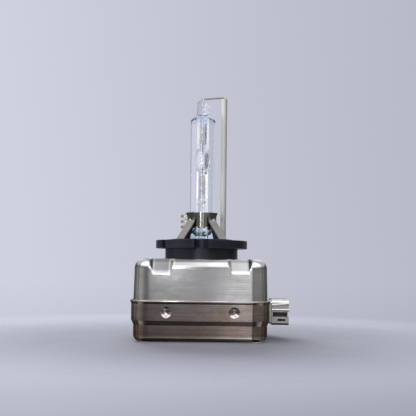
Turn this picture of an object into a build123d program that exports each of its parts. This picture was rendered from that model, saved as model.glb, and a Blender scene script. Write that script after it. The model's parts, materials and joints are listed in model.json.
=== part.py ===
from build123d import *
import os
from math import cos, radians, sin, tan

# Gas-discharge headlight bulb with the ignition unit built into its base.
# Millimetres. +Z runs along the lamp axis from the ignition unit to the burner tip,
# and the origin is the centre of the cap flange's seating face. -Y is the front of
# the metal housing and +X the side that carries the power connector.

# Driving dimensions of the cap
FLANGE_R = 16.0
FLANGE_T = 2.8
PLATEAU_R = 10.8
PLATEAU_H = 0.4
NECK_R = 12.7
WELL_R = 5.0

# Driving dimensions of the metal housing
SHEET = 0.5
CAN_TOP_Z = -6.5
CAN_RIM_Z = -25.0
CAN_SIDE = 44.5
CAN_CORNER_R = 5.5
CAN_DRAFT = 1.5
CAN_EDGE_R = 3.3
SKIRT_TOP_Z = -20.1
SKIRT_LOW_Z = -26.6
SKIRT_SIDE = 45.6
PAN_TOP_Z = -28.3
PAN_SIDE = 44.1
BASE_Z = -33.7
PAN_EDGE_R = 2.2
LIP_OUT = 0.35
LIP_H = 0.5
DIMPLE_X = 11.0
DIMPLE_Z = -23.85
DENT_X = 12.8
DENT_W = 5.3

# Driving dimensions of the burner
ARC_Z = 28.2
ARC_GAP = 4.2
GLASS_R = 4.3
GLASS_WALL = 1.0
STEM_R = 2.1
TIP_Z = 49.65
RETURN_X = 7.5
WIRE_R = 0.3

# Driving dimensions of the power connector
SOCKET_X = 30.1
SOCKET_Z = -24.35
SOCKET_H = 8.8
SOCKET_W = 15.2
ROOT_W = 13.2
ROOT_H = 8.0
STEP_X = 24.3
PIN_PITCH = 3.6

# Clearance left between pieces that only meet, never overlap
GAP = 0.01


# ---------------------------------------------------------------- shape helpers
def disc(r, z0, z1, x=0.0, y=0.0):
    return Pos(x, y, (z0 + z1) / 2) * Cylinder(r, z1 - z0)


def tube(r_out, r_in, z0, z1):
    return disc(r_out, z0, z1) - disc(r_in, z0, z1)


def block(x0, x1, y0, y1, z0, z1):
    return Pos((x0 + x1) / 2, (y0 + y1) / 2, (z0 + z1) / 2) * Box(x1 - x0, y1 - y0, z1 - z0)


def rod_x(r, x0, x1, y, z):
    return Pos((x0 + x1) / 2, y, z) * Rot(0, 90, 0) * Cylinder(r, x1 - x0)


def rod_y(r, y0, y1, x, z):
    return Pos(x, (y0 + y1) / 2, z) * Rot(90, 0, 0) * Cylinder(r, y1 - y0)


def rounded_square(side, corner_r, z):
    return Pos(0, 0, z) * RectangleRounded(side, side, corner_r)


def prism(side, corner_r, z0, z1, taper=0.0):
    """Upright prism on a rounded square; a positive taper makes it narrower at z1."""
    return extrude(rounded_square(side, corner_r, z0), amount=z1 - z0, dir=(0, 0, 1), taper=taper)


def lathe(*outline):
    """Solid of revolution about Z from (radius, z) points that close on the axis."""
    return revolve(make_face(Polyline(*[(r, 0, z) for r, z in outline], close=True)), Axis.Z)


def quarter(solid, turn):
    return Rot(0, 0, 90 * turn) * solid


def wire_along(points, bends, r):
    """Round wire along straight runs joined by arcs; bends lists one radius a corner."""
    path = FilletPolyline(*points, radius=bends)
    return sweep(Plane(path @ 0, z_dir=path % 0) * Circle(r), path=path)


# ---------------------------------------------------------------- metal housing
def dent_profile(x, wall_y, top_z, chamfer, low_r, top_r):
    """Region outside a 45 degree chamfer that runs into the wall and the top by arcs."""
    slope = low_r * tan(radians(22.5))
    corner_z = top_z - chamfer
    reach = 3.0
    facet_low = (x, wall_y + slope * sin(radians(45)), corner_z + slope * cos(radians(45)))
    low_mid = (
        x, wall_y + low_r * (1 - cos(radians(22.5))), corner_z - slope + low_r * sin(radians(22.5))
    )
    low_end = (x, wall_y, corner_z - slope)
    centre_z = top_z - top_r * sin(radians(76))
    facet_top_z = centre_z + top_r * sin(radians(45))
    centre_y = wall_y + facet_top_z - corner_z + top_r * cos(radians(45))

    def on_top_arc(angle):
        turn = radians(angle)
        return (x, centre_y - top_r * cos(turn), centre_z + top_r * sin(turn))

    start = (x, on_top_arc(85)[1], top_z + reach)
    edges = [
        Line(start, on_top_arc(85)),
        ThreePointArc(on_top_arc(85), on_top_arc(65), on_top_arc(45)),
        Line(on_top_arc(45), facet_low),
        ThreePointArc(facet_low, low_mid, low_end),
        Line(low_end, (x, wall_y - reach, corner_z - slope)),
        Line((x, wall_y - reach, corner_z - slope), (x, wall_y - reach, top_z + reach)),
        Line((x, wall_y - reach, top_z + reach), start),
    ]
    return make_face(Curve() + edges)


def edge_dent(x, inset):
    """Cutter for one pressed dent on the front top edge, inset into the sheet."""
    wall_y = -(CAN_SIDE / 2 - 0.2 - inset)
    top_z = CAN_TOP_Z - inset
    deep = (4.7 - 0.586 * inset, 2.9 - inset, 4.0 - inset)
    shallow = (2.2 - 0.586 * inset, 1.5 - inset, 3.0 - inset)
    half = DENT_W / 2
    wide = half + 1.4
    sections = [
        dent_profile(x - wide, wall_y, top_z, *shallow),
        dent_profile(x - half, wall_y, top_z, *deep),
        dent_profile(x + half, wall_y, top_z, *deep),
        dent_profile(x + wide, wall_y, top_z, *shallow),
    ]
    return loft(sections, ruled=True)


def dimple_balls(layer):
    """Balls that press dimples into the sheet, layer deep below the skirt's outer surface.

    The front, the left and the back each have two; the right side holds the connector.
    """
    ball_r, ball_out = 3.0, 2.4
    centre_y = -SKIRT_SIDE / 2 - ball_out
    front = [Pos(x, centre_y, DIMPLE_Z) * Sphere(ball_r + layer) for x in (-DIMPLE_X, DIMPLE_X)]
    return [Rot(0, 0, turn) * ball for turn in (0, -90, 180) for ball in front]


def can_body(inset):
    """Solid can, inset inwards from its outer surface."""
    side = CAN_SIDE - 2 * inset
    body = prism(side, CAN_CORNER_R - inset, CAN_RIM_Z, CAN_TOP_Z - inset, CAN_DRAFT)
    body = fillet(body.faces().sort_by(Axis.Z)[-1].edges(), CAN_EDGE_R - inset)
    for x in (-DENT_X, DENT_X):
        cutter = edge_dent(x, inset)
        body = body - cutter - Rot(0, 0, 180) * cutter
    return body - dimple_balls(SHEET + 0.03 + inset)


def upper_can():
    """Deep-drawn shell with a round hole for the cap and a notch for the connector."""
    shell = can_body(0) - can_body(SHEET)
    hole = disc(NECK_R + 0.1, CAN_TOP_Z - 2, CAN_TOP_Z + 1)
    half = ROOT_W / 2 + 0.4
    notch = block(19, 24, -half, half, CAN_RIM_Z - 1, SOCKET_Z + ROOT_H / 2 + 0.5)
    return shell - hole - notch


def cover_body(inset):
    """Solid bottom cover: a skirt, a sloping shoulder and a shallow pan."""
    skirt_r, pan_r = 6.0, 5.3
    wide, narrow = SKIRT_SIDE - 2 * inset, PAN_SIDE - 2 * inset
    low = BASE_Z + inset
    pan = prism(narrow, pan_r - inset, low, PAN_TOP_Z + 0.2 * inset)
    pan = fillet(pan.faces().sort_by(Axis.Z)[0].edges(), PAN_EDGE_R - inset)
    shoulder = loft([
        rounded_square(narrow, pan_r - inset, PAN_TOP_Z + 0.2 * inset),
        rounded_square(wide, skirt_r - inset, SKIRT_LOW_Z + 0.2 * inset),
    ])
    skirt = prism(wide, skirt_r - inset, SKIRT_LOW_Z + 0.2 * inset, SKIRT_TOP_Z)
    return pan + shoulder + skirt


def bottom_cover():
    """Pressed pan whose skirt laps over the can and is held on by dimples."""
    edge = (SKIRT_SIDE + 2 * LIP_OUT, 6.0 + LIP_OUT)
    lip = prism(*edge, SKIRT_TOP_Z - LIP_H, SKIRT_TOP_Z)
    lip = fillet(lip.faces().sort_by(Axis.Z)[-1].edges(), 0.3)
    flare = loft([
        rounded_square(SKIRT_SIDE, 6.0, SKIRT_TOP_Z - LIP_H - 0.75),
        rounded_square(*edge, SKIRT_TOP_Z - LIP_H),
    ])
    outer = cover_body(0) + flare + lip
    inner = cover_body(SHEET)
    outer = outer - dimple_balls(0)
    inner = inner - dimple_balls(SHEET)
    half = ROOT_W / 2 + 0.4
    window = block(20, 24, -half, half, SOCKET_Z - ROOT_H / 2 - 0.3, SKIRT_TOP_Z + 1)
    return outer - inner - window


# ---------------------------------------------------------------- power connector
def socket_section(x, width, height, corner_r):
    plane = Plane(origin=(x, 0, SOCKET_Z), x_dir=(0, 1, 0), z_dir=(1, 0, 0))
    return plane * RectangleRounded(width, height, corner_r)


def socket_block(x0, x1, width, height, corner_r):
    return extrude(socket_section(x0, width, height, corner_r), amount=x1 - x0, dir=(1, 0, 0))


def coding_rib(z0, z1, lift, proud, x0, x1):
    """Rounded rib on the shroud's front, from x0 to x1, rising by lift towards the mouth."""
    y0 = -SOCKET_W / 2

    def section(x, rise):
        low, high = z0 + rise, z1 + rise
        mid = (low + high) / 2
        bulge = ThreePointArc((x, y0, low), (x, y0 - proud, mid), (x, y0, high))
        back = [(x, y0, high), (x, y0 + 0.3, high), (x, y0 + 0.3, low), (x, y0, low)]
        return make_face(Curve() + [bulge, *Polyline(*back).edges()])

    return loft([section(x0, 0), section(x1, lift)], ruled=True)


def socket_core(x0, x1, gap):
    """What the stepped sleeve encloses between x0 and x1, smaller by gap all round."""
    shrink = 2 * (SHEET + gap)
    step = STEP_X + SHEET + gap
    root = socket_block(x0, step, ROOT_W - shrink, ROOT_H - shrink, 0.6)
    front = socket_block(step, x1, SOCKET_W - shrink, SOCKET_H - shrink, 1.3 - SHEET)
    return root + front


def connector_shroud():
    """Formed sheet sleeve round the plug socket, with slots and coding ribs on both ends."""
    inner_x = 20.6
    flange = socket_block(inner_x, inner_x + SHEET, ROOT_W + 2.2, ROOT_H + 1.6, 1.6)
    root = socket_block(inner_x, STEP_X, ROOT_W, ROOT_H, 1.1)
    sleeve = socket_block(STEP_X, SOCKET_X, SOCKET_W, SOCKET_H, 1.3)
    shroud = flange + root + sleeve - socket_core(inner_x - 1, SOCKET_X + 1, 0)
    ribs = [
        coding_rib(-22.45, -21.4, 0.5, 0.62, STEP_X, SOCKET_X),
        coding_rib(-23.95, -23.1, 0.0, 0.5, STEP_X, SOCKET_X),
    ]
    for rib in ribs:
        shroud = shroud + rib + mirror(rib, Plane.XZ)
    slot = block(STEP_X + 0.3, SOCKET_X + 1, -SOCKET_W, SOCKET_W, -25.8, -24.25)
    latch = block(26.2, 28.9, -SOCKET_W, SOCKET_W, -27.3, -26.55)
    outer_band = block(STEP_X, SOCKET_X + 1, -5.5, 5.5, -40, 0)
    return shroud - (slot - outer_band) - (latch - outer_band)


INSULATOR_BACK_X = 20.7
INSULATOR_FLOOR_X = 22.2
CAVITY_W = 10.6
CAVITY_H = 5.5


def contact_y():
    return [-PIN_PITCH, 0.0, PIN_PITCH]


def contact_pin(y):
    """Round contact from inside the ignition unit to a chamfered tip in the socket."""
    tip = 25.2
    pin = rod_x(0.5, 17.6, tip, y, SOCKET_Z)
    return chamfer(pin.faces().sort_by(Axis.X)[-1].edges(), 0.2)


def connector_insulator():
    """Plastic liner with a floor that carries the contacts."""
    front = SOCKET_X - 0.4
    body = socket_core(INSULATOR_BACK_X, front, GAP)
    body = body - socket_block(INSULATOR_FLOOR_X, front + 1, CAVITY_W, CAVITY_H, 0.5)
    for y in contact_y():
        body = body - rod_x(0.5, 18, 24, y, SOCKET_Z)
    return body


# ---------------------------------------------------------------- clamp and legs
RING_IN_R = GLASS_R + 0.05
RING_T = 0.35
RING_Z = (4.75, 9.7)
LEG_T = 0.4
LEG_W = 3.6


def clamp_tooth(z):
    """One of the pointed tabs on the ears' free edge."""
    outline = [(-6.0, z + 0.75), (-7.4, z + 0.4), (-7.4, z - 0.4), (-6.0, z - 0.55)]
    face = make_face(Polyline(*[(x, -RING_T, height) for x, height in outline], close=True))
    return extrude(face, amount=2 * RING_T, dir=(0, 1, 0))


def clamp_ring():
    """Strip wrapped round the glass; its two ends stand out as spot-welded, toothed ears."""
    low, high = RING_Z
    ring = tube(RING_IN_R + RING_T, RING_IN_R, low, high)
    ears = block(-6.4, -RING_IN_R - 0.1, -RING_T, RING_T, low - 0.4, high)
    clamp = ring + ears - disc(RING_IN_R, low - 1, high + 1)
    for z in (low, low + 1.9, low + 3.8):
        clamp = clamp + clamp_tooth(z)
        for side in (-1, 1):
            clamp = clamp - Pos(-5.7, side * (RING_T + 0.28), z + 0.5) * Sphere(0.45)
    return clamp


def leg_at_front():
    """One leg, drawn in the plane of X and Z with the lamp axis at x = 0."""
    touch = RING_IN_R + RING_T + GAP
    root_r = 10.15
    bend_r = 3.0
    bend_pull = 0.4
    path = [
        (touch + 1.1, 0, 9.75),
        (touch + LEG_T / 2 - bend_pull, 0, 7.4),
        (root_r, 0, PLATEAU_H + 0.1),
        (root_r, 0, -1.9),
    ]
    centre = FilletPolyline(*path, radius=[bend_r, 0.8])
    start = Plane(origin=centre @ 0, x_dir=(0, 1, 0), z_dir=centre % 0)
    strip = sweep(start * Rectangle(LEG_W, LEG_T), path=centre)
    weld = Pos(touch + LEG_T + 0.85, 0, 7.6) * Sphere(1.1)
    return strip - weld


def clamp_legs():
    return [Rot(0, 0, 45 + 90 * k) * leg_at_front() for k in range(4)]


# ---------------------------------------------------------------- burner
CHAMBER_R = 1.45
CHAMBER_HALF = 3.9
VESSEL_R = 2.85
FOIL_T = 0.06
FOIL_W = 1.6
FOIL_Y = 0.15 + GAP + FOIL_T / 2
LEAD_Y = FOIL_Y - FOIL_T / 2 - GAP - WIRE_R
UPPER_FOIL = (ARC_Z + 5.7, ARC_Z + 12.7)
LOWER_FOIL = (ARC_Z - 13.4, ARC_Z - 5.5)
STEM_FOOT_Z = -5.4


def chamber():
    """Discharge chamber: an ellipsoid about the arc."""
    profile = Plane.XZ * (Pos(0, ARC_Z) * Ellipse(CHAMBER_R, CHAMBER_HALF))
    half = profile & (Plane.XZ * Pos(5, ARC_Z) * Rectangle(10, 20))
    return revolve(half, Axis.Z)


def arc_tube_blank():
    """Quartz rod that swells into the discharge vessel and ends in a rounded tip."""
    swell = 4.6
    tip_r = 1.1
    outline = [
        Line((0, 0, STEM_FOOT_Z), (STEM_R - 0.1, 0, STEM_FOOT_Z)),
        Line((STEM_R - 0.1, 0, STEM_FOOT_Z), (STEM_R - 0.1, 0, ARC_Z - swell)),
        Spline(
            (STEM_R - 0.1, 0, ARC_Z - swell),
            (VESSEL_R, 0, ARC_Z),
            (STEM_R, 0, ARC_Z + swell),
            tangents=[(0, 0, 1), (0, 0, 1)],
        ),
        Line((STEM_R, 0, ARC_Z + swell), (STEM_R, 0, TIP_Z - tip_r)),
        ThreePointArc(
            (STEM_R, 0, TIP_Z - tip_r),
            (STEM_R - tip_r + tip_r * cos(radians(45)), 0, TIP_Z - tip_r + tip_r * sin(radians(45))),
            (STEM_R - tip_r, 0, TIP_Z),
        ),
        Line((STEM_R - tip_r, 0, TIP_Z), (0, 0, TIP_Z)),
        Line((0, 0, TIP_Z), (0, 0, STEM_FOOT_Z)),
    ]
    return revolve(make_face(Curve() + outline), Axis.Z)


def electrode(side):
    """Tungsten rod from the arc gap back to its foil; side is 1 above and -1 below."""
    tip = ARC_Z + side * ARC_GAP / 2
    foil = UPPER_FOIL[0] + 1.3 if side > 0 else LOWER_FOIL[1] - 1.3
    return disc(0.15, min(tip, foil), max(tip, foil))


def foil(span):
    low, high = span
    return block(-FOIL_W / 2, FOIL_W / 2, FOIL_Y - FOIL_T / 2, FOIL_Y + FOIL_T / 2, low, high)


def upper_lead_wire():
    return disc(WIRE_R, UPPER_FOIL[1] - 1.3, TIP_Z + 0.6, y=LEAD_Y)


def lower_lead_wire():
    return disc(WIRE_R, -11.0, LOWER_FOIL[0] + 1.3, y=LEAD_Y)


def halide_salts():
    """Metal-halide fill, frozen on one side of the chamber."""
    return chamber() & block(1.08, 3, -3, 3, ARC_Z - 5, ARC_Z + 5)


def arc_tube():
    sealed = [
        electrode(1),
        electrode(-1),
        foil(UPPER_FOIL),
        foil(LOWER_FOIL),
        upper_lead_wire(),
        lower_lead_wire(),
    ]
    glass = arc_tube_blank() - chamber()
    for piece in sealed:
        glass = glass - piece
    return glass


def outer_envelope():
    """Quartz jacket, domed at both ends and fused to the arc tube's stem."""
    hug = STEM_R + GAP
    low_hug = STEM_R - 0.1 + GAP
    inner_r = GLASS_R - GLASS_WALL
    outer = [
        (low_hug, 0, -4.6),
        (3.3, 0, -4.5),
        (GLASS_R, 0, -2.6),
        (GLASS_R, 0, 41.6),
        (3.5, 0, 43.35),
        (hug + 0.35, 0, 44.2),
        (hug, 0, 45.0),
    ]
    inner = [
        (hug, 0, 43.2),
        (2.7, 0, 42.75),
        (inner_r, 0, 41.2),
        (inner_r, 0, 4.6),
        (2.8, 0, 2.4),
        (low_hug, 0, 1.6),
    ]
    outline = [
        Line(outer[0], outer[1]),
        ThreePointArc(outer[1], (4.15, 0, -3.85), outer[2]),
        Line(outer[2], outer[3]),
        ThreePointArc(outer[3], (4.2, 0, 42.6), outer[4]),
        Line(outer[4], outer[5]),
        Line(outer[5], outer[6]),
        Line(outer[6], inner[0]),
        Line(inner[0], inner[1]),
        ThreePointArc(inner[1], (3.27, 0, 42.15), inner[2]),
        Line(inner[2], inner[3]),
        ThreePointArc(inner[3], (3.3, 0, 3.3), inner[4]),
        Line(inner[4], inner[5]),
        Line(inner[5], outer[0]),
    ]
    return revolve(make_face(Curve() + outline), Axis.Z)


RETURN_Y = LEAD_Y + 2 * WIRE_R + GAP
RETURN_LOW_Z = -13.0
CERAMIC_R = 1.0
CERAMIC_LOW_Z = -4.5
CERAMIC_TOP_Z = 50.4


def return_wire():
    """Nickel wire welded behind the upper lead, across and down to the ignition unit."""
    path = [
        (-0.1, RETURN_Y, TIP_Z + GAP),
        (-0.1, RETURN_Y, 50.25),
        (RETURN_X, RETURN_Y, 50.95),
        (RETURN_X, RETURN_Y, RETURN_LOW_Z),
    ]
    return wire_along(path, [0.35, 0.5], WIRE_R)


def ceramic_tube():
    """Insulating tube on the return wire, with its ends slightly rounded."""
    body = disc(CERAMIC_R, CERAMIC_LOW_Z, CERAMIC_TOP_Z, RETURN_X, RETURN_Y)
    body = fillet(body.faces().sort_by(Axis.Z)[-1].edges(), 0.2)
    return body - disc(0.42, CERAMIC_LOW_Z, CERAMIC_TOP_Z, RETURN_X, RETURN_Y)


# ---------------------------------------------------------------- cap
TOWER_R = 6.6
TOWER_LOW_Z = -12.4


def flange_notch(turn, width, depth):
    """Round-bottomed notch in the flange rim, turned from the front."""
    bottom_r = width / 2
    centre_y = -(FLANGE_R - depth + bottom_r)
    round_end = disc(bottom_r, -FLANGE_T - 1, 1, 0, centre_y)
    mouth = block(-bottom_r, bottom_r, -FLANGE_R - 2, centre_y, -FLANGE_T - 1, 1)
    return Rot(0, 0, turn) * (round_end + mouth)


def gusset():
    """Upright rib on the plateau that backs one leg, drawn along +X."""
    low, high, half = PLATEAU_H - 0.1, 4.4, 0.65
    outline = [(6.5, low), (9.4, low), (6.5, high), (5.0, high)]
    face = make_face(Polyline(*[(x, -half, z) for x, z in outline], close=True))
    return extrude(face, amount=2 * half, dir=(0, 1, 0))


def cap_base():
    """One plastic moulding: notched flange, ribs, neck, retaining collar and tower."""
    flange = disc(FLANGE_R, -FLANGE_T, 0)
    rim = flange.edges().filter_by(GeomType.CIRCLE).filter_by(lambda e: e.radius > NECK_R)
    flange = chamfer(rim, 0.15)
    for turn, width, depth in ((0, 4.8, 3.0), (-52, 2.6, 2.0), (180, 4.8, 3.0)):
        flange = flange - flange_notch(turn, width, depth)
    plateau = disc(PLATEAU_R, 0, PLATEAU_H)
    neck = disc(NECK_R, CAN_TOP_Z - SHEET - GAP, -FLANGE_T)
    collar = disc(14.6, CAN_TOP_Z - SHEET - GAP - 2.0, CAN_TOP_Z - SHEET - GAP)
    tower = disc(TOWER_R, TOWER_LOW_Z, CAN_TOP_Z)
    body = flange + plateau + neck + collar + tower
    for k in range(4):
        body = body + Rot(0, 0, 45 + 90 * k) * gusset()
    well = disc(WELL_R, -6.0, PLATEAU_H)
    lead_bore = disc(0.9, TOWER_LOW_Z, -6.0, y=LEAD_Y)
    ceramic_seat = disc(CERAMIC_R + GAP, CERAMIC_LOW_Z, PLATEAU_H, RETURN_X, RETURN_Y)
    wire_bore = disc(0.4, -14, CERAMIC_LOW_Z, RETURN_X, RETURN_Y)
    for hollow in (well, lead_bore, ceramic_seat, wire_bore, *clamp_legs()):
        body = body - hollow
    return body


# ---------------------------------------------------------------- ignition unit
TRAY_OUT = 20.4
TRAY_WALL = 1.2
TRAY_LOW_Z = BASE_Z + SHEET + 0.05
TRAY_FLOOR_Z = TRAY_LOW_Z + 1.4
TRAY_TOP_Z = -18.0
DIVIDER_X = (2.7, 3.5)

COIL_X = -7.2
COIL_Z = -22.6
COIL_HALF = 15.0
BOBBIN_R = 7.9
WINDING_R = 6.9
BARREL_R = 4.0
CORE_R = 3.0
POTTING_TOP_Z = -23.7


def igniter_tray():
    """Plastic tray on the pan floor, with a divider beside the transformer."""
    outer = prism(2 * TRAY_OUT, 4.6, TRAY_LOW_Z, TRAY_TOP_Z)
    outer = chamfer(outer.faces().sort_by(Axis.Z)[0].edges(), 1.5)
    inside = 2 * (TRAY_OUT - TRAY_WALL)
    tray = outer - prism(inside, 3.4, TRAY_FLOOR_Z, TRAY_TOP_Z + 1)
    wall = block(*DIVIDER_X, -inside / 2 - 0.1, inside / 2 + 0.1, TRAY_FLOOR_Z - 0.1, -21.0)
    tray = tray + wall
    for y in contact_y():
        tray = tray - rod_x(0.5 + GAP, 18, 21, y, SOCKET_Z)
    return tray


def slot_walls():
    """Flanges of the bobbin as (y0, y1): two end cheeks and three partitions."""
    cheek, wall = 1.2, 0.7
    step = (2 * COIL_HALF - 2 * cheek) / 4
    spans = [(-COIL_HALF, -COIL_HALF + cheek), (COIL_HALF - cheek, COIL_HALF)]
    spans += [(-COIL_HALF + cheek + k * step - wall / 2, -COIL_HALF + cheek + k * step + wall / 2)
              for k in (1, 2, 3)]
    return sorted(spans)


def transformer_bobbin():
    """Spool with a square foot on each cheek."""
    body = rod_y(BARREL_R, -COIL_HALF, COIL_HALF, COIL_X, COIL_Z)
    for y0, y1 in slot_walls():
        body = body + rod_y(BOBBIN_R, y0, y1, COIL_X, COIL_Z)
    for y0, y1 in (slot_walls()[0], slot_walls()[-1]):
        body = body + block(COIL_X - 5, COIL_X + 5, y0, y1, TRAY_FLOOR_Z, COIL_Z)
    return body - rod_y(CORE_R + GAP, -COIL_HALF, COIL_HALF, COIL_X, COIL_Z)


def ferrite_core():
    return rod_y(CORE_R, -COIL_HALF - 1, COIL_HALF + 1, COIL_X, COIL_Z)


def secondary_winding():
    """Enamelled-wire sections between the partitions, one solid a slot."""
    walls = slot_walls()
    sections = []
    for (_, y0), (y1, _) in zip(walls, walls[1:]):
        outer = rod_y(WINDING_R, y0 + GAP, y1 - GAP, COIL_X, COIL_Z)
        sections.append(outer - rod_y(BARREL_R + GAP, y0, y1, COIL_X, COIL_Z))
    return sections


def primary_winding():
    """Four turns of copper strip, two over each of the last two slots."""
    turns = []
    for y in (2.2, 4.7, 9.2, 11.9):
        band = rod_y(WINDING_R + 0.45, y - 0.9, y + 0.9, COIL_X, COIL_Z)
        turns.append(band - rod_y(WINDING_R + GAP, y - 1, y + 1, COIL_X, COIL_Z))
    return turns


def potting_compound():
    """Resin that fills the transformer's side of the tray round the bobbin."""
    side = TRAY_OUT - TRAY_WALL
    fill = prism(2 * side, 3.4, TRAY_FLOOR_Z, POTTING_TOP_Z) & block(-side, DIVIDER_X[0], -side, side, -40, 0)
    room = rod_y(BOBBIN_R, -COIL_HALF, COIL_HALF, COIL_X, COIL_Z)
    room = room + block(COIL_X - 5, COIL_X + 5, -COIL_HALF, COIL_HALF, TRAY_FLOOR_Z, COIL_Z)
    ends = rod_y(CORE_R, -COIL_HALF - 1, COIL_HALF + 1, COIL_X, COIL_Z)
    return fill - room - ends


GAP_TUBE_X, GAP_TUBE_Z = 8.6, -27.4
GAP_TUBE_Y = (-16.6, -9.6)
GAP_TUBE_R = 3.9


def spark_gap_body():
    """Ceramic barrel of the spark gap."""
    y0, y1 = GAP_TUBE_Y
    barrel = rod_y(GAP_TUBE_R, y0 + 1.2, y1 - 1.2, GAP_TUBE_X, GAP_TUBE_Z)
    return barrel - rod_y(2.6, y0, y1, GAP_TUBE_X, GAP_TUBE_Z)


def spark_gap_electrodes():
    """Two metal end caps whose inner pips face each other."""
    y0, y1 = GAP_TUBE_Y
    caps = []
    for outer_y, way in ((y0, 1), (y1, -1)):
        lid = sorted((outer_y, outer_y + way * (1.2 - GAP)))
        pip = sorted((outer_y, outer_y + way * 3.0))
        cap = rod_y(GAP_TUBE_R - 0.15, *lid, GAP_TUBE_X, GAP_TUBE_Z)
        lead = disc(0.3, GAP_TUBE_Z, BAR_Z - GAP, GAP_TUBE_X, outer_y + way * 0.6)
        caps.append(cap + rod_y(1.4, *pip, GAP_TUBE_X, GAP_TUBE_Z) + lead)
    return caps


CAP_X = (4.4, 12.4)
CAP_Y = (-6.0, 9.5)
CAP_Z = (-31.6, -19.8)


def ignition_capacitor():
    """Film capacitor block with rounded upright edges."""
    body = block(*CAP_X, *CAP_Y, *CAP_Z)
    return fillet(body.edges().filter_by(Axis.Z), 1.0)


BAR_T = 0.6
BAR_Z = CAP_Z[1] + 1.3


def capacitor_leads():
    """Two wires from the capacitor up to the conductor bars."""
    return [disc(0.35, CAP_Z[1], BAR_Z - GAP, 8.4, y) for y in (-3.4, 7.0)]


RES_X, RES_Z = 15.6, -28.6
RES_Y = (-3.6, 2.0)


def bleeder_resistor():
    body = rod_y(1.35, *RES_Y, RES_X, RES_Z)
    return fillet(body.edges().filter_by(GeomType.CIRCLE), 0.5)


def resistor_leads():
    """Wires from the resistor's ends up to the pulse and return conductors."""
    y0, y1 = RES_Y
    front = [(RES_X, y0, RES_Z), (RES_X, y0 - 1.6, RES_Z), (RES_X, y0 - 1.6, BAR_Z - GAP)]
    back = [(RES_X, y1, RES_Z), (RES_X, y1 + 1.6, RES_Z), (RES_X, y1 + 1.6, BAR_Z - GAP)]
    return [wire_along(path, [0.8], 0.3) for path in (front, back)]


def bar(x0, x1, y0, y1):
    return block(x0, x1, y0, y1, BAR_Z, BAR_Z + BAR_T)


def pulse_bar():
    """Stamped strip from the first contact over the spark gap to the capacitor."""
    run = bar(14.6, 18.4, -17.4, -2.8) + bar(7.4, 14.7, -17.4, -15.4) + bar(7.4, 9.4, -17.4, -2.4)
    foot = block(17.8, 18.4, -PIN_PITCH - 0.8, -PIN_PITCH + 0.8, SOCKET_Z - 0.8, BAR_Z + 0.1)
    return run + foot - rod_x(0.5 + GAP, 16, 20, -PIN_PITCH, SOCKET_Z)


def lamp_bar():
    """Stamped strip from the middle contact over the divider to the winding's low end."""
    run = bar(1.2, 18.4, -1.0, 1.0)
    riser = block(1.2, 1.8, -1.0, 1.0, POTTING_TOP_Z + GAP, BAR_Z + 0.1)
    foot = block(17.8, 18.4, -0.8, 0.8, SOCKET_Z - 0.8, BAR_Z + 0.1)
    return run + riser + foot - rod_x(0.5 + GAP, 16, 20, 0, SOCKET_Z)


def return_bar():
    """Stamped strip from the third contact to the return wire's weld."""
    run = bar(5.6, 18.4, 2.6, 4.6) + bar(5.6, 8.0, 2.6, 8.0)
    tag = block(5.6, 8.0, 2.6, 3.2, BAR_Z, RETURN_LOW_Z - 0.3)
    foot = block(17.8, 18.4, PIN_PITCH - 0.8, PIN_PITCH + 0.8, SOCKET_Z - 0.8, BAR_Z + 0.1)
    return run + tag + foot - rod_x(0.5 + GAP, 16, 20, PIN_PITCH, SOCKET_Z)


def hv_lead():
    """High-voltage wire from the first winding section over the bobbin to the crimp sleeve."""
    wire_r, over_z = 0.45, COIL_Z + BOBBIN_R + 0.5
    start_z = COIL_Z + WINDING_R + wire_r + 0.05
    path = [
        (COIL_X, -12.6, start_z),
        (COIL_X, -11.0, over_z),
        (COIL_X, -5.0, over_z),
        (0, LEAD_Y - 0.85 - wire_r - GAP, over_z),
    ]
    return wire_along(path, [1.0, 2.0], wire_r)


def crimp_sleeve():
    """Metal sleeve crimped over the lower lead and welded to the high-voltage wire."""
    sleeve = disc(0.85, -15.2, -9.6, y=LEAD_Y)
    return sleeve - disc(WIRE_R + GAP, -11.0 - GAP, -9.0, y=LEAD_Y)


def parts():
    """Every piece of the lamp under the name of its node."""
    made = {
        "upper_can": upper_can(),
        "bottom_cover": bottom_cover(),
        "connector_shroud": connector_shroud(),
        "connector_insulator": connector_insulator(),
        "contact_pins": [contact_pin(y) for y in contact_y()],
        "cap_base": cap_base(),
        "clamp_ring": clamp_ring(),
        "outer_envelope": outer_envelope(),
        "arc_tube": arc_tube(),
        "upper_electrode": electrode(1),
        "lower_electrode": electrode(-1),
        "upper_foil": foil(UPPER_FOIL),
        "lower_foil": foil(LOWER_FOIL),
        "upper_lead_wire": upper_lead_wire(),
        "lower_lead_wire": lower_lead_wire(),
        "halide_salts": halide_salts(),
        "return_wire": return_wire(),
        "ceramic_tube": ceramic_tube(),
        "igniter_tray": igniter_tray(),
        "transformer_bobbin": transformer_bobbin(),
        "ferrite_core": ferrite_core(),
        "secondary_winding": secondary_winding(),
        "primary_winding": primary_winding(),
        "potting_compound": potting_compound(),
        "spark_gap_body": spark_gap_body(),
        "spark_gap_electrodes": spark_gap_electrodes(),
        "ignition_capacitor": ignition_capacitor(),
        "capacitor_leads": capacitor_leads(),
        "bleeder_resistor": bleeder_resistor(),
        "resistor_leads": resistor_leads(),
        "pulse_bar": pulse_bar(),
        "lamp_bar": lamp_bar(),
        "return_bar": return_bar(),
        "hv_lead": hv_lead(),
        "crimp_sleeve": crimp_sleeve(),
    }
    for k, leg in enumerate(clamp_legs(), 1):
        made[f"clamp_leg_{k}"] = leg
    return made


os.makedirs("parts", exist_ok=True)
for name, shape in parts().items():
    solids = shape if isinstance(shape, list) else [shape]
    export_step(Compound(children=[s for one in solids for s in one.solids()]), f"parts/{name}.step")
    print(name, [round(s.volume, 2) for one in solids for s in one.solids()])
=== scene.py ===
import json
import math

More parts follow.
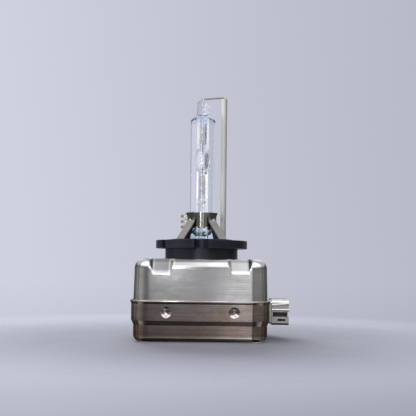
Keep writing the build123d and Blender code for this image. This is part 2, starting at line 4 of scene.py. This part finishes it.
import bmesh
import bpy
from mathutils import Matrix, Vector, noise as field


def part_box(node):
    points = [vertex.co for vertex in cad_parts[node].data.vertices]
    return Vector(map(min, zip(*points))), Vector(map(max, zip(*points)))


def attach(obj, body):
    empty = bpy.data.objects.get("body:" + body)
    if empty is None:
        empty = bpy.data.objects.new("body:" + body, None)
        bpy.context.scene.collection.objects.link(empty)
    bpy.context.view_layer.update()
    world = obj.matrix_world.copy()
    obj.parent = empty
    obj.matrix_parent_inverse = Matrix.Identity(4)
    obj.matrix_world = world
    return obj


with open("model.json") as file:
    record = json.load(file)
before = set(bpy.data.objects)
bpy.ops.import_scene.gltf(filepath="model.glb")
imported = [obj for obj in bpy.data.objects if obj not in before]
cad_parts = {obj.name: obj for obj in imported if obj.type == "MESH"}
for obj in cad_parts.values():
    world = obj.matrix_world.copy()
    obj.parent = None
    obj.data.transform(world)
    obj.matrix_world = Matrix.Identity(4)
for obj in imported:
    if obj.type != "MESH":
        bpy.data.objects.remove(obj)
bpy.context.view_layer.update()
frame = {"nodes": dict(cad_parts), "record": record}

nodes = frame["nodes"]
MM = 0.001

# The lamp stands upright: +Z runs up the burner, -Y is the housing's front and +X the socket side.
CAMERA_DISTANCE = 0.280
CAMERA_LEVEL = -0.0088
CAMERA_SIDE = 0.0022
CAMERA_PITCH = math.radians(2.4)
CAMERA_ROLL = math.radians(0.7)
CAMERA_RISE = 0.059
FOCAL_MM = 68.9
FLOOR_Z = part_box("bottom_cover")[0].z
FLOOR_GAP = 0.00002
FLOOR_RADIUS = 0.4
FLOOR_FADE = (0.035, 0.15)

# Heights on the lamp axis in mm, from the seating face of the cap's flange
MELTED_FOOT = (-6, 3.6)
DOME = (41.9, 43.4)
LOWER_STEM = (-6, 23.6)
LOWER_FOIL_STEM = (15.4, 23.6)
VESSEL = (26.0, 30.6)
UPPER_STEM = (32.8, 43.0)

# The clamp's free ears along X in mm: where the painted near-white highlight on the ears begins,
# and the tempered weld tabs
EAR_PAINTED_HIGHLIGHT = (-4.9, -5.3)
EAR_HEAT = (-6.1, -6.9)

CERAMIC_X, CERAMIC_Y = 7.5, 0.46
QUARTZ_IOR = 1.458
JACKET_IOR = 1.22  # lower than quartz has, for a soft outline
CROWN = -2800.0  # relief in mm per square metre of distance from a face's middle line

FINE_GRAIN = (1200, 1200, 1200)
DRAWN_GRAIN = (2500, 2500, 90)


# ------------------------------------------------------------------ shader helpers
def shader(name, color=(0.5, 0.5, 0.5), metallic=0.0, roughness=0.4, **extra):
    """A new material with one Principled shader; extra sets more of its sockets by name."""
    material = bpy.data.materials.new(name)
    material.use_nodes = True
    bsdf = material.node_tree.nodes["Principled BSDF"]
    bsdf.inputs["Base Color"].default_value = (*color, 1)
    bsdf.inputs["Metallic"].default_value = metallic
    bsdf.inputs["Roughness"].default_value = roughness
    for socket, value in extra.items():
        bsdf.inputs[socket.replace("_", " ")].default_value = value
    return material, material.node_tree, bsdf


def noise(tree, stretch, detail=3.0, roughness=0.5, distortion=0.0):
    """Noise over the object's coordinates; stretch is its frequency per metre on X, Y and Z."""
    coordinates = tree.nodes.new("ShaderNodeTexCoord")
    mapping = tree.nodes.new("ShaderNodeMapping")
    mapping.inputs["Scale"].default_value = stretch
    texture = tree.nodes.new("ShaderNodeTexNoise")
    texture.inputs["Scale"].default_value = 1.0
    texture.inputs["Detail"].default_value = detail
    texture.inputs["Roughness"].default_value = roughness
    texture.inputs["Distortion"].default_value = distortion
    tree.links.new(coordinates.outputs["Object"], mapping.inputs["Vector"])
    tree.links.new(mapping.outputs["Vector"], texture.inputs["Vector"])
    return texture.outputs["Fac"]


def ramp(tree, fac, *stops):
    """Colour ramp through (position, colour) stops."""
    node = tree.nodes.new("ShaderNodeValToRGB")
    elements = node.color_ramp.elements
    while len(elements) < len(stops):
        elements.new(0.5)
    for element, (position, color) in zip(elements, stops):
        element.position = position
        element.color = (*color, 1)
    tree.links.new(fac, node.inputs["Fac"])
    return node.outputs["Color"]


def slope(tree, value, start, end, low=0.0, high=1.0, smooth=False):
    """Maps start..end onto low..high, and holds the ends."""
    node = tree.nodes.new("ShaderNodeMapRange")
    if smooth:
        node.interpolation_type = "SMOOTHSTEP"
    node.inputs["From Min"].default_value = start
    node.inputs["From Max"].default_value = end
    node.inputs["To Min"].default_value = low
    node.inputs["To Max"].default_value = high
    tree.links.new(value, node.inputs["Value"])
    return node.outputs["Result"]


def spread(tree, fac, low, high):
    """Maps a texture's middle range onto low..high."""
    return slope(tree, fac, 0.3, 0.7, low, high)


def combine(tree, operation, first, *others):
    """Works one Math operation through the values from left to right."""
    result = first
    for other in others:
        node = tree.nodes.new("ShaderNodeMath")
        node.operation = operation
        for socket, value in zip(node.inputs, (result, other)):
            if isinstance(value, (int, float)):
                socket.default_value = value
            else:
                tree.links.new(value, socket)
        result = node.outputs["Value"]
    return result


def distance(tree, value):
    """The value without its sign."""
    return combine(tree, "ABSOLUTE", value, 0.0)


def mix_colors(tree, fac, first, second, blend="MIX"):
    node = tree.nodes.new("ShaderNodeMix")
    node.data_type = "RGBA"
    node.blend_type = blend
    if isinstance(fac, (int, float)):
        node.inputs["Factor"].default_value = fac
    else:
        tree.links.new(fac, node.inputs["Factor"])
    for socket, value in ((node.inputs[6], first), (node.inputs[7], second)):
        if isinstance(value, tuple):
            socket.default_value = (*value, 1)
        else:
            tree.links.new(value, socket)
    return node.outputs[2]


def object_axes(tree):
    coordinates = tree.nodes.new("ShaderNodeTexCoord")
    axes = tree.nodes.new("ShaderNodeSeparateXYZ")
    tree.links.new(coordinates.outputs["Object"], axes.inputs["Vector"])
    return axes.outputs


def bump(tree, bsdf, height, depth_mm, strength=1.0):
    node = tree.nodes.new("ShaderNodeBump")
    node.inputs["Strength"].default_value = strength
    node.inputs["Distance"].default_value = depth_mm * MM
    tree.links.new(height, node.inputs["Height"])
    tree.links.new(node.outputs["Normal"], bsdf.inputs["Normal"])
    return node


def height_band(tree, band_mm, blend_mm):
    """1 within a band of heights on the lamp axis, fading to 0 over blend outside it."""
    height = object_axes(tree)["Z"]
    low, high = (edge * MM for edge in band_mm)
    blend = blend_mm * MM
    return combine(
        tree, "MULTIPLY",
        slope(tree, height, low - blend, low, smooth=True),
        slope(tree, height, high + blend, high, smooth=True),
    )


# ------------------------------------------------------------------ materials
def drawn_steel(name, dark, light, stain_and_reflection_tint, stain_and_reflection_amount, roughness, edge_mm):
    """Tin-plated sheet, slightly crowned and wavy from drawing, with rub lines and stains; on the
    cover the staining colour is a painted red-brown reflection.
    """
    material, tree, bsdf = shader(name, metallic=1.0)
    lines = noise(tree, (25, 25, 3200), detail=4.0, roughness=0.65)
    pulled = noise(tree, (2400, 2400, 22), detail=4.0, roughness=0.7)
    clouds = noise(tree, (120, 120, 200), detail=4.0, roughness=0.6)
    streaks = noise(tree, (30, 30, 520), detail=4.0, roughness=0.6)
    waves = noise(tree, (75, 75, 55), detail=2.0, roughness=0.45)
    plate = ramp(tree, streaks, (0.3, dark), (0.7, light))
    # Cloudy patches of staining colour: stains on the housing, a painted red-brown reflection on
    # the cover.
    color = mix_colors(tree, spread(tree, clouds, 0.0, stain_and_reflection_amount), plate, stain_and_reflection_tint)
    tree.links.new(color, bsdf.inputs["Base Color"])
    rough = combine(
        tree, "ADD",
        spread(tree, lines, roughness - 0.04, roughness + 0.05),
        spread(tree, clouds, -0.03, 0.05),
    )
    tree.links.new(rough, bsdf.inputs["Roughness"])
    axes = object_axes(tree)
    reach = combine(tree, "MINIMUM", distance(tree, axes["X"]), distance(tree, axes["Y"]))
    relief = combine(
        tree, "ADD",
        combine(tree, "MULTIPLY", waves, 0.09),
        combine(tree, "MULTIPLY", reach, reach, CROWN),
        combine(tree, "MULTIPLY", lines, 0.006),
        combine(tree, "MULTIPLY", pulled, 0.011),
    )
    soft_edges = tree.nodes.new("ShaderNodeBevel")
    soft_edges.samples = 6
    soft_edges.inputs["Radius"].default_value = edge_mm * MM
    tree.links.new(soft_edges.outputs["Normal"], bump(tree, bsdf, relief, 1.0).inputs["Normal"])
    return material


def bright_strip(name, dark, light, roughness, stretch=(900, 900, 900)):
    """Rolled or formed bright metal with fine scratches."""
    material, tree, bsdf = shader(name, metallic=1.0)
    grain = noise(tree, stretch, detail=3.0, roughness=0.6)
    tree.links.new(ramp(tree, grain, (0.3, dark), (0.7, light)), bsdf.inputs["Base Color"])
    tree.links.new(spread(tree, grain, roughness, roughness + 0.12), bsdf.inputs["Roughness"])
    bump(tree, bsdf, grain, 0.01, 0.5)
    return material


def clamp_metal(name):
    """Bright strip whose ears carry a painted near-white highlight, and whose welded tabs at the
    ears' free edge are tempered straw brown.
    """
    material = bright_strip(name, (0.30, 0.30, 0.27), (0.42, 0.42, 0.385), 0.11, DRAWN_GRAIN)
    tree = material.node_tree
    color = tree.nodes["Principled BSDF"].inputs["Base Color"]
    metal = color.links[0].from_socket
    across = object_axes(tree)["X"]
    # The ears' near-white tint is a painted highlight; the weld tabs' straw brown is their temper
    # colour.
    for (start, end), tint in ((EAR_PAINTED_HIGHLIGHT, (0.90, 0.90, 0.88)), (EAR_HEAT, (0.40, 0.28, 0.13))):
        metal = mix_colors(tree, slope(tree, across, start * MM, end * MM), metal, tint)
    tree.links.new(metal, color)
    return material


def sealed_metal(name, dark, light, painted_glow):
    """Metal inside the quartz, where little of the room reaches it; a painted glow from emission
    makes up for that.
    """
    material = bright_strip(name, dark, light, 0.3, DRAWN_GRAIN)
    bsdf = material.node_tree.nodes["Principled BSDF"]
    # Painted glow: emission in place of the light that does not reach inside the quartz.
    bsdf.inputs["Emission Color"].default_value = (0.95, 0.96, 1.0, 1)
    bsdf.inputs["Emission Strength"].default_value = painted_glow
    return material


def moulded_plastic(name, dark, light, roughness):
    """Moulded plastic with a fine grain and slight flow marks."""
    material, tree, bsdf = shader(name)
    grain = noise(tree, (1 / (0.35 * MM),) * 3, detail=4.0, roughness=0.6)
    flow = noise(tree, (90, 90, 140), detail=2.0)
    tree.links.new(ramp(tree, flow, (0.3, dark), (0.7, light)), bsdf.inputs["Base Color"])
    tree.links.new(spread(tree, flow, roughness - 0.04, roughness + 0.06), bsdf.inputs["Roughness"])
    bump(tree, bsdf, grain, 0.012, 0.6)
    return material


def clear_quartz(name):
    """Polished quartz tube; its lower end, melted down to the stem, is crumpled, and that foot and
    the dome carry a painted bluish reflection.
    """
    material, tree, bsdf = shader(name, roughness=0.0, IOR=JACKET_IOR, Transmission_Weight=1.0)
    waves = combine(tree, "MULTIPLY", noise(tree, (420, 420, 60), detail=2.0), 0.01)
    melted = height_band(tree, MELTED_FOOT, 1.0)
    dome = height_band(tree, DOME, 0.9)
    folds = noise(tree, (430, 430, 330), detail=1.0, distortion=0.8)
    folds = combine(tree, "MULTIPLY", folds, melted, 0.9)
    rings = combine(tree, "MULTIPLY", noise(tree, (40, 40, 900), detail=1.0), dome, 0.35)
    bump(tree, bsdf, combine(tree, "ADD", waves, folds, rings), 1.0)
    # The bluish tints on the melted foot and the dome are a painted reflection.
    tint = mix_colors(tree, melted, (0.985, 0.99, 1.0), (0.78, 0.90, 0.97))
    tint = mix_colors(tree, dome, tint, (0.86, 0.91, 0.99))
    tree.links.new(tint, bsdf.inputs["Base Color"])
    return material


def seal_quartz(name):
    """Burner quartz: clear vessel and pinched stems, with painted highlights: whitened bands on the
    stems' sides and a faint whitening on the vessel's left half.

    The painted highlights glow faintly, because little light reaches them inside the jacket.
    """
    material, tree, bsdf = shader(
        name, (0.97, 0.975, 0.98), roughness=0.02, IOR=QUARTZ_IOR, Transmission_Weight=1.0
    )
    across = object_axes(tree)["X"]
    low = height_band(tree, LOWER_STEM, 1.2)
    high = height_band(tree, UPPER_STEM, 1.2)
    at_foil = spread(tree, height_band(tree, LOWER_FOIL_STEM, 1.2), 0.5, 1.0)
    stems = combine(
        tree, "ADD",
        combine(tree, "MULTIPLY", low, at_foil),
        combine(tree, "MULTIPLY", high, 0.5),
    )
    lean = combine(tree, "MULTIPLY", combine(tree, "SUBTRACT", low, high), 0.22 * MM)
    side = distance(tree, combine(tree, "ADD", across, lean))
    edge = slope(tree, side, 1.0 * MM, 1.35 * MM, smooth=True)
    # The whitened bands on the stems' sides are painted highlights, broken up by noise.
    highlight_breakup = spread(tree, noise(tree, (900, 900, 150), detail=3.0, roughness=0.6), 0.25, 1.0)
    # A faint painted highlight on the vessel's left half.
    left = slope(tree, across, 0.9 * MM, -0.1 * MM, smooth=True)
    # The painted highlights whiten the quartz and glow.
    painted_highlights = combine(
        tree, "MAXIMUM",
        combine(tree, "MULTIPLY", edge, stems, highlight_breakup),
        combine(tree, "MULTIPLY", height_band(tree, VESSEL, 1.4), left, 0.07),
    )
    clear = combine(tree, "SUBTRACT", 1.0, combine(tree, "MULTIPLY", painted_highlights, 0.8))
    tree.links.new(clear, bsdf.inputs["Transmission Weight"])
    # Colour of the painted highlights' glow.
    bsdf.inputs["Emission Color"].default_value = (1.0, 0.985, 0.95, 1)
    tree.links.new(combine(tree, "MULTIPLY", painted_highlights, 0.78), bsdf.inputs["Emission Strength"])
    bump(tree, bsdf, noise(tree, (1100, 1100, 240), detail=3.0), 0.06, 0.8)
    return material


def sintered_ceramic(name, dark, light):
    """Fired ceramic, matt with sparse specks."""
    material, tree, bsdf = shader(name, roughness=0.5)
    cloud = noise(tree, (260, 260, 120), detail=3.0)
    specks = noise(tree, (3500, 3500, 3500), detail=2.0)
    body = ramp(tree, cloud, (0.3, dark), (0.7, light))
    speck = ramp(tree, specks, (0.28, tuple(0.55 * c for c in dark)), (0.36, (1, 1, 1)))
    color = mix_colors(tree, 0.6, body, speck, "MULTIPLY")
    tree.links.new(color, bsdf.inputs["Base Color"])
    tree.links.new(spread(tree, cloud, 0.42, 0.58), bsdf.inputs["Roughness"])
    bump(tree, bsdf, specks, 0.01, 0.5)
    return material


def crystal_salts(name, dark, light):
    """Frozen salts, crusted and uneven in gloss."""
    material, tree, bsdf = shader(name)
    crystals = noise(tree, (1600, 1600, 1600), detail=5.0, roughness=0.7)
    tree.links.new(ramp(tree, crystals, (0.35, dark), (0.65, light)), bsdf.inputs["Base Color"])
    tree.links.new(spread(tree, crystals, 0.45, 0.8), bsdf.inputs["Roughness"])
    bump(tree, bsdf, crystals, 0.08, 0.8)
    return material


def wound_wire(name, dark, light, pitch_mm):
    """Close turns of enamelled wire round an axis along Y."""
    material, tree, bsdf = shader(name, metallic=0.8, Coat_Weight=0.5, Coat_Roughness=0.15)
    coordinates = tree.nodes.new("ShaderNodeTexCoord")
    wave = tree.nodes.new("ShaderNodeTexWave")
    wave.bands_direction = "Y"
    wave.inputs["Scale"].default_value = 0.314 / (pitch_mm * MM)
    tree.links.new(coordinates.outputs["Object"], wave.inputs["Vector"])
    turns = wave.outputs["Fac"]
    tree.links.new(ramp(tree, turns, (0.1, dark), (0.8, light)), bsdf.inputs["Base Color"])
    tree.links.new(spread(tree, turns, 0.4, 0.25), bsdf.inputs["Roughness"])
    bump(tree, bsdf, turns, 0.4 * pitch_mm, 0.6)
    return material


def cast_resin(name, dark, light, roughness):
    """Poured or dipped resin with a glossy skin."""
    material, tree, bsdf = shader(name, Coat_Weight=0.3, Coat_Roughness=0.2)
    flow = noise(tree, (200, 200, 200), detail=4.0)
    tree.links.new(ramp(tree, flow, (0.3, dark), (0.7, light)), bsdf.inputs["Base Color"])
    tree.links.new(spread(tree, flow, roughness, roughness + 0.15), bsdf.inputs["Roughness"])
    bump(tree, bsdf, flow, 0.08, 0.5)
    return material


# The maker of each of the record's slots, and what it is given after the name
SLOTS = {
    "housing_steel": (
        drawn_steel, (0.57, 0.58, 0.59), (0.64, 0.64, 0.65), (0.52, 0.49, 0.44), 0.35, 0.16, 0.9
    ),
    # The cover's red-brown tint over most of its face is a painted reflection.
    "cover_steel": (
        drawn_steel, (0.42, 0.43, 0.48), (0.70, 0.67, 0.63), (0.36, 0.25, 0.20), 0.85, 0.14, 0.25
    ),
    "shroud_steel": (bright_strip, (0.58, 0.58, 0.57), (0.72, 0.72, 0.71), 0.15),
    "socket_plastic": (moulded_plastic, (0.010, 0.010, 0.012), (0.020, 0.020, 0.023), 0.42),
    "contact_metal": (bright_strip, (0.72, 0.56, 0.28), (0.86, 0.70, 0.38), 0.2, FINE_GRAIN),
    "cap_plastic": (moulded_plastic, (0.005, 0.008, 0.013), (0.011, 0.016, 0.025), 0.32),
    "clamp_steel": (bright_strip, (0.29, 0.29, 0.285), (0.39, 0.39, 0.385), 0.24, DRAWN_GRAIN),
    "quartz": (clear_quartz,),
    # The last value of the two sealed metals is the strength of their painted glow.
    "tungsten": (sealed_metal, (0.22, 0.22, 0.24), (0.34, 0.34, 0.36), 0.02),
    "molybdenum": (sealed_metal, (0.66, 0.66, 0.68), (0.80, 0.80, 0.82), 0.19),
    "halide_salts": (crystal_salts, (0.16, 0.15, 0.10), (0.42, 0.40, 0.30)),
    "nickel_wire": (bright_strip, (0.34, 0.335, 0.32), (0.44, 0.43, 0.41), 0.3, DRAWN_GRAIN),
    "ceramic": (sintered_ceramic, (0.72, 0.71, 0.68), (0.80, 0.79, 0.76)),
    "tray_plastic": (moulded_plastic, (0.03, 0.03, 0.03), (0.05, 0.05, 0.05), 0.5),
    "bobbin_plastic": (moulded_plastic, (0.55, 0.51, 0.40), (0.66, 0.62, 0.50), 0.45),
    "ferrite": (sintered_ceramic, (0.035, 0.035, 0.04), (0.06, 0.06, 0.065)),
    "enamelled_copper": (wound_wire, (0.12, 0.03, 0.01), (0.45, 0.15, 0.05), 0.25),
    "copper_strip": (bright_strip, (0.60, 0.28, 0.15), (0.78, 0.42, 0.26), 0.25, FINE_GRAIN),
    "potting_resin": (cast_resin, (0.02, 0.018, 0.015), (0.05, 0.045, 0.04), 0.3),
    "capacitor_case": (cast_resin, (0.28, 0.03, 0.015), (0.40, 0.05, 0.03), 0.25),
    "resistor_body": (cast_resin, (0.14, 0.24, 0.36), (0.20, 0.32, 0.46), 0.35),
    "tinned_copper": (bright_strip, (0.60, 0.59, 0.56), (0.74, 0.73, 0.70), 0.3, FINE_GRAIN),
    "cable_rubber": (moulded_plastic, (0.22, 0.02, 0.015), (0.32, 0.035, 0.03), 0.5),
}

materials = {slot: make(slot, *values) for slot, (make, *values) in SLOTS.items()}
for row in frame["record"]["subparts"]:
    node = nodes[row["node"]]
    node.data.materials.clear()
    node.data.materials.append(materials[row["material_slot"]])
nodes["arc_tube"].data.materials[0] = seal_quartz("seal_quartz")
nodes["clamp_ring"].data.materials[0] = clamp_metal("clamp_metal")


# ------------------------------------------------------------------ small pieces
def add_piece(name, form, slot, lump_mm, lump_size_mm=0.4):
    """Makes a piece of the form, roughened by lumps, that rides on the lamp's body."""
    form.normal_update()
    for vert in form.verts:
        shift = field.noise(vert.co / (lump_size_mm * MM)) * lump_mm * MM
        vert.co += vert.normal * shift
    for face in form.faces:
        face.smooth = True
    mesh = bpy.data.meshes.new(name)
    form.to_mesh(mesh)
    form.free()
    mesh.materials.append(materials[slot])
    piece = bpy.data.objects.new(name, mesh)
    bpy.context.scene.collection.objects.link(piece)
    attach(piece, "root")


def turned(outline, x, y, segments):
    """Mesh turned about an upright axis at x, y from (radius, z) points in mm."""
    form = bmesh.new()
    rings = []
    for k in range(segments):
        angle = 2 * math.pi * k / segments
        rings.append([
            form.verts.new(
                Vector((x + r * math.cos(angle), y + r * math.sin(angle), z)) * MM
            )
            for r, z in outline
        ])
    for k, ring in enumerate(rings):
        after = rings[(k + 1) % segments]
        for j in range(len(outline)):
            i = (j + 1) % len(outline)
            form.faces.new((ring[j], after[j], after[i], ring[i]))
    return form


def weld_bead():
    """Melted bead where the return wire meets the upper lead."""
    form = bmesh.new()
    bmesh.ops.create_icosphere(form, subdivisions=4, radius=0.46 * MM)
    for vert in form.verts:
        vert.co.z *= 0.8
        vert.co += Vector((-0.05, 0.28, 50.1)) * MM
    add_piece("weld_bead", form, "nickel_wire", 0.16, 0.35)


def foil_seam(name, low, high):
    """Tail of the lead, flattened along one edge of a sealing foil."""
    form = bmesh.new()
    steps, sides = 24, 10
    rows = []
    for i in range(steps + 1):
        z = low + (high - low) * i / steps
        thin = 0.13 * math.sqrt(max(0.02, 1 - (2 * i / steps - 1) ** 6))
        x = 0.70 + 0.05 * math.sin(2.1 * z)
        rows.append([
            form.verts.new(Vector((
                x + 1.2 * thin * math.cos(2 * math.pi * k / sides),
                0.04 + 0.6 * thin * math.sin(2 * math.pi * k / sides),
                z,
            )) * MM)
            for k in range(sides)
        ])
    for row, above in zip(rows, rows[1:]):
        for k in range(sides):
            form.faces.new((row[k], row[(k + 1) % sides], above[(k + 1) % sides], above[k]))
    form.faces.new(rows[0][::-1])
    form.faces.new(rows[-1])
    add_piece(name, form, "tungsten", 0.03)


def seal_speck(name, slot, place, radius):
    """Dark lump in the quartz beside a seal."""
    form = bmesh.new()
    bmesh.ops.create_icosphere(form, subdivisions=3, radius=radius * MM)
    for vert in form.verts:
        vert.co.z *= 1.4
        vert.co += Vector(place) * MM
    add_piece(name, form, slot, 0.5 * radius, radius)


def cement_collar():
    """Bead of cement round the foot of the ceramic tube."""
    outline = [(1.02, 0.35), (1.62, 0.35), (1.60, 0.48), (1.42, 0.68), (1.18, 0.86), (1.02, 0.92)]
    form = turned(outline, CERAMIC_X, CERAMIC_Y, 60)
    add_piece("cement_collar", form, "ceramic", 0.10, 0.5)


weld_bead()
foil_seam("upper_foil_seam", 34.1, 40.7)
foil_seam("lower_foil_seam", 15.2, 22.0)
seal_speck("lower_seal_speck", "tungsten", (0.85, -1.95, 13.4), 0.26)
seal_speck("vessel_foot_speck", "tungsten", (1.15, -1.75, 23.7), 0.34)
seal_speck("upper_seal_speck", "tungsten", (1.1, -1.8, 40.9), 0.18)
cement_collar()


# ------------------------------------------------------------------ stage
def make_world():
    """A pale backdrop for what is seen directly or through glass, an even tone for the light on
    matt surfaces, and for reflections a room painted over the direction's height and heading."""
    world = bpy.data.worlds.new("studio")
    bpy.context.scene.world = world
    world.use_nodes = True
    tree = world.node_tree
    background = tree.nodes["Background"]
    direction = tree.nodes.new("ShaderNodeTexCoord").outputs["Generated"]

    def along(x, y, z, low, high):
        """0 to 1 as the direction's part along (x, y, z) goes from low to high."""
        dot = tree.nodes.new("ShaderNodeVectorMath")
        dot.operation = "DOT_PRODUCT"
        dot.inputs[1].default_value = (x, y, z)
        tree.links.new(direction, dot.inputs[0])
        return slope(tree, dot.outputs["Value"], low, high)

    # The backdrop carries painted shade: lighter to the left, darker to the right, and darker
    # downward.
    backdrop = ramp(
        tree, along(-1, 0, -0.1, -0.27, 0.23),
        (0.0, (0.475, 0.49, 0.58)), (0.5, (0.545, 0.555, 0.65)), (1.0, (0.625, 0.64, 0.75)),
    )
    low_shade = ramp(
        tree, along(0, 0, 1, -0.20, -0.02), (0.0, (0.74, 0.74, 0.75)), (1.0, (1.0, 1.0, 1.0))
    )
    backdrop = mix_colors(tree, 1.0, backdrop, low_shade, "MULTIPLY")
    heights = ramp(
        tree, along(0, 0, 1, -1.0, 1.0),
        (0.0, (0.05, 0.042, 0.04)),
        (0.14, (0.04, 0.035, 0.032)),
        (0.17, (0.72, 0.71, 0.68)),
        (0.21, (0.72, 0.71, 0.68)),
        (0.24, (0.06, 0.05, 0.048)),
        (0.28, (0.30, 0.295, 0.30)),
        (0.40, (0.30, 0.295, 0.30)),
        (0.43, (0.06, 0.034, 0.030)),
        (0.457, (0.135, 0.080, 0.070)),
        (0.466, (0.26, 0.215, 0.205)),
        (0.482, (0.38, 0.36, 0.36)),
        (0.496, (0.55, 0.56, 0.585)),
        (0.535, (0.55, 0.56, 0.585)),
        (0.555, (0.30, 0.30, 0.31)),
        (0.65, (0.34, 0.34, 0.35)),
        (0.76, (1.8, 1.82, 1.86)),
        (0.97, (2.0, 2.02, 2.06)),
        (0.995, (1.1, 1.11, 1.13)),
        (1.0, (0.80, 0.81, 0.83)),
    )
    overhead = ramp(
        tree, along(1, 0, 0, -0.4, 0.4),
        (0.0, (1.1, 1.1, 1.1)),
        (0.30, (0.50, 0.50, 0.51)),
        (0.46, (0.55, 0.55, 0.56)),
        (0.56, (1.1, 1.1, 1.1)),
        (1.0, (1.0, 1.0, 1.0)),
    )
    headings = ramp(
        tree, along(1, 0, 0, -1.0, 1.0),
        (0.0, (0.95, 0.94, 0.90)),
        (0.06, (0.85, 0.84, 0.80)),
        (0.12, (0.50, 0.50, 0.50)),
        (0.20, (0.38, 0.38, 0.39)),
        (0.34, (0.44, 0.44, 0.45)),
        (0.41, (0.60, 0.60, 0.60)),
        (0.50, (0.86, 0.86, 0.86)),
        (0.55, (1.0, 1.0, 1.0)),
        (0.572, (2.2, 2.18, 2.15)),
        (0.625, (2.4, 2.38, 2.35)),
        (0.65, (0.60, 0.59, 0.57)),
        (0.68, (0.36, 0.35, 0.33)),
        (0.76, (0.62, 0.60, 0.56)),
        (1.0, (0.55, 0.53, 0.48)),
    )
    level = combine(tree, "SUBTRACT", 1.0, along(0, 0, 1, 0.14, 0.4))
    behind = ramp(
        tree, along(0, 1, 0, -1.0, 1.0),
        (0.50, (1.0, 1.0, 1.0)),
        (0.57, (0.40, 0.39, 0.38)),
        (0.80, (0.36, 0.35, 0.34)),
        (0.93, (0.95, 0.95, 0.95)),
    )
    side = mix_colors(tree, level, overhead, headings)
    room = mix_colors(tree, 1.0, heights, side, "MULTIPLY")
    room = mix_colors(tree, 1.0, room, behind, "MULTIPLY")
    path = tree.nodes.new("ShaderNodeLightPath")
    seen = combine(
        tree, "MAXIMUM", path.outputs["Is Camera Ray"], path.outputs["Is Transmission Ray"]
    )
    lit = mix_colors(tree, path.outputs["Is Diffuse Ray"], room, (0.16, 0.165, 0.18))
    tree.links.new(mix_colors(tree, seen, lit, backdrop), background.inputs["Color"])


def make_floor():
    """Pale floor that fades into the backdrop before its edge, to soften the horizon."""
    material, tree, bsdf = shader("floor", roughness=0.75)
    tree.links.new(
        ramp(tree, noise(tree, (60, 60, 60)), (0.3, (0.43, 0.44, 0.52)), (0.7, (0.46, 0.47, 0.55))),
        bsdf.inputs["Base Color"],
    )
    coordinates = tree.nodes.new("ShaderNodeTexCoord")
    length = tree.nodes.new("ShaderNodeVectorMath")
    length.operation = "LENGTH"
    clear = tree.nodes.new("ShaderNodeBsdfTransparent")
    mix = tree.nodes.new("ShaderNodeMixShader")
    tree.links.new(coordinates.outputs["Object"], length.inputs[0])
    fade = slope(tree, length.outputs["Value"], *FLOOR_FADE, smooth=True)
    tree.links.new(fade, mix.inputs["Fac"])
    tree.links.new(bsdf.outputs["BSDF"], mix.inputs[1])
    tree.links.new(clear.outputs["BSDF"], mix.inputs[2])
    tree.links.new(mix.outputs["Shader"], tree.nodes["Material Output"].inputs["Surface"])
    mesh = bpy.data.meshes.new("floor")
    form = bmesh.new()
    bmesh.ops.create_circle(form, cap_ends=True, segments=96, radius=FLOOR_RADIUS)
    form.to_mesh(mesh)
    form.free()
    floor = bpy.data.objects.new("floor", mesh)
    floor.location = (0, 0, FLOOR_Z - FLOOR_GAP)
    mesh.materials.append(material)
    bpy.context.scene.collection.objects.link(floor)
    floor.visible_glossy = False


def area_light(name, place, aim, size, power, seen=False):
    """Soft light; unless seen is set it lights matt surfaces without showing in shiny ones."""
    data = bpy.data.lights.new(name, "AREA")
    data.shape = "RECTANGLE"
    data.size, data.size_y = size
    data.energy = power
    light = bpy.data.objects.new(name, data)
    light.location = place
    light.rotation_euler = (Vector(aim) - Vector(place)).to_track_quat("-Z", "Y").to_euler()
    bpy.context.scene.collection.objects.link(light)
    light.visible_glossy = light.visible_transmission = seen


def make_camera():
    data = bpy.data.cameras.new("camera")
    data.sensor_width = 36
    data.lens = FOCAL_MM
    data.shift_y = CAMERA_RISE
    data.clip_start, data.clip_end = 0.01, 20
    camera = bpy.data.objects.new("camera", data)
    camera.location = (CAMERA_SIDE, -CAMERA_DISTANCE, CAMERA_LEVEL)
    level = Matrix.Rotation(math.pi / 2 + CAMERA_PITCH, 4, "X")
    camera.rotation_euler = (level @ Matrix.Rotation(CAMERA_ROLL, 4, "Z")).to_euler()
    bpy.context.scene.collection.objects.link(camera)
    bpy.context.scene.camera = camera


make_world()
make_floor()
make_camera()
area_light("back_soft", (-0.10, 0.40, 0.20), (0, 0, -0.03), (0.35, 0.25), 2.2)
area_light("front_left", (-0.40, -0.28, -0.01), (0, 0, 0.0), (0.25, 0.30), 1.7)
area_light("strip", (-0.075, -0.39, 0.108), (0, 0, 0.02), (0.03, 0.165), 0.18, seen=True)
bpy.context.scene.view_settings.view_transform = "Standard"
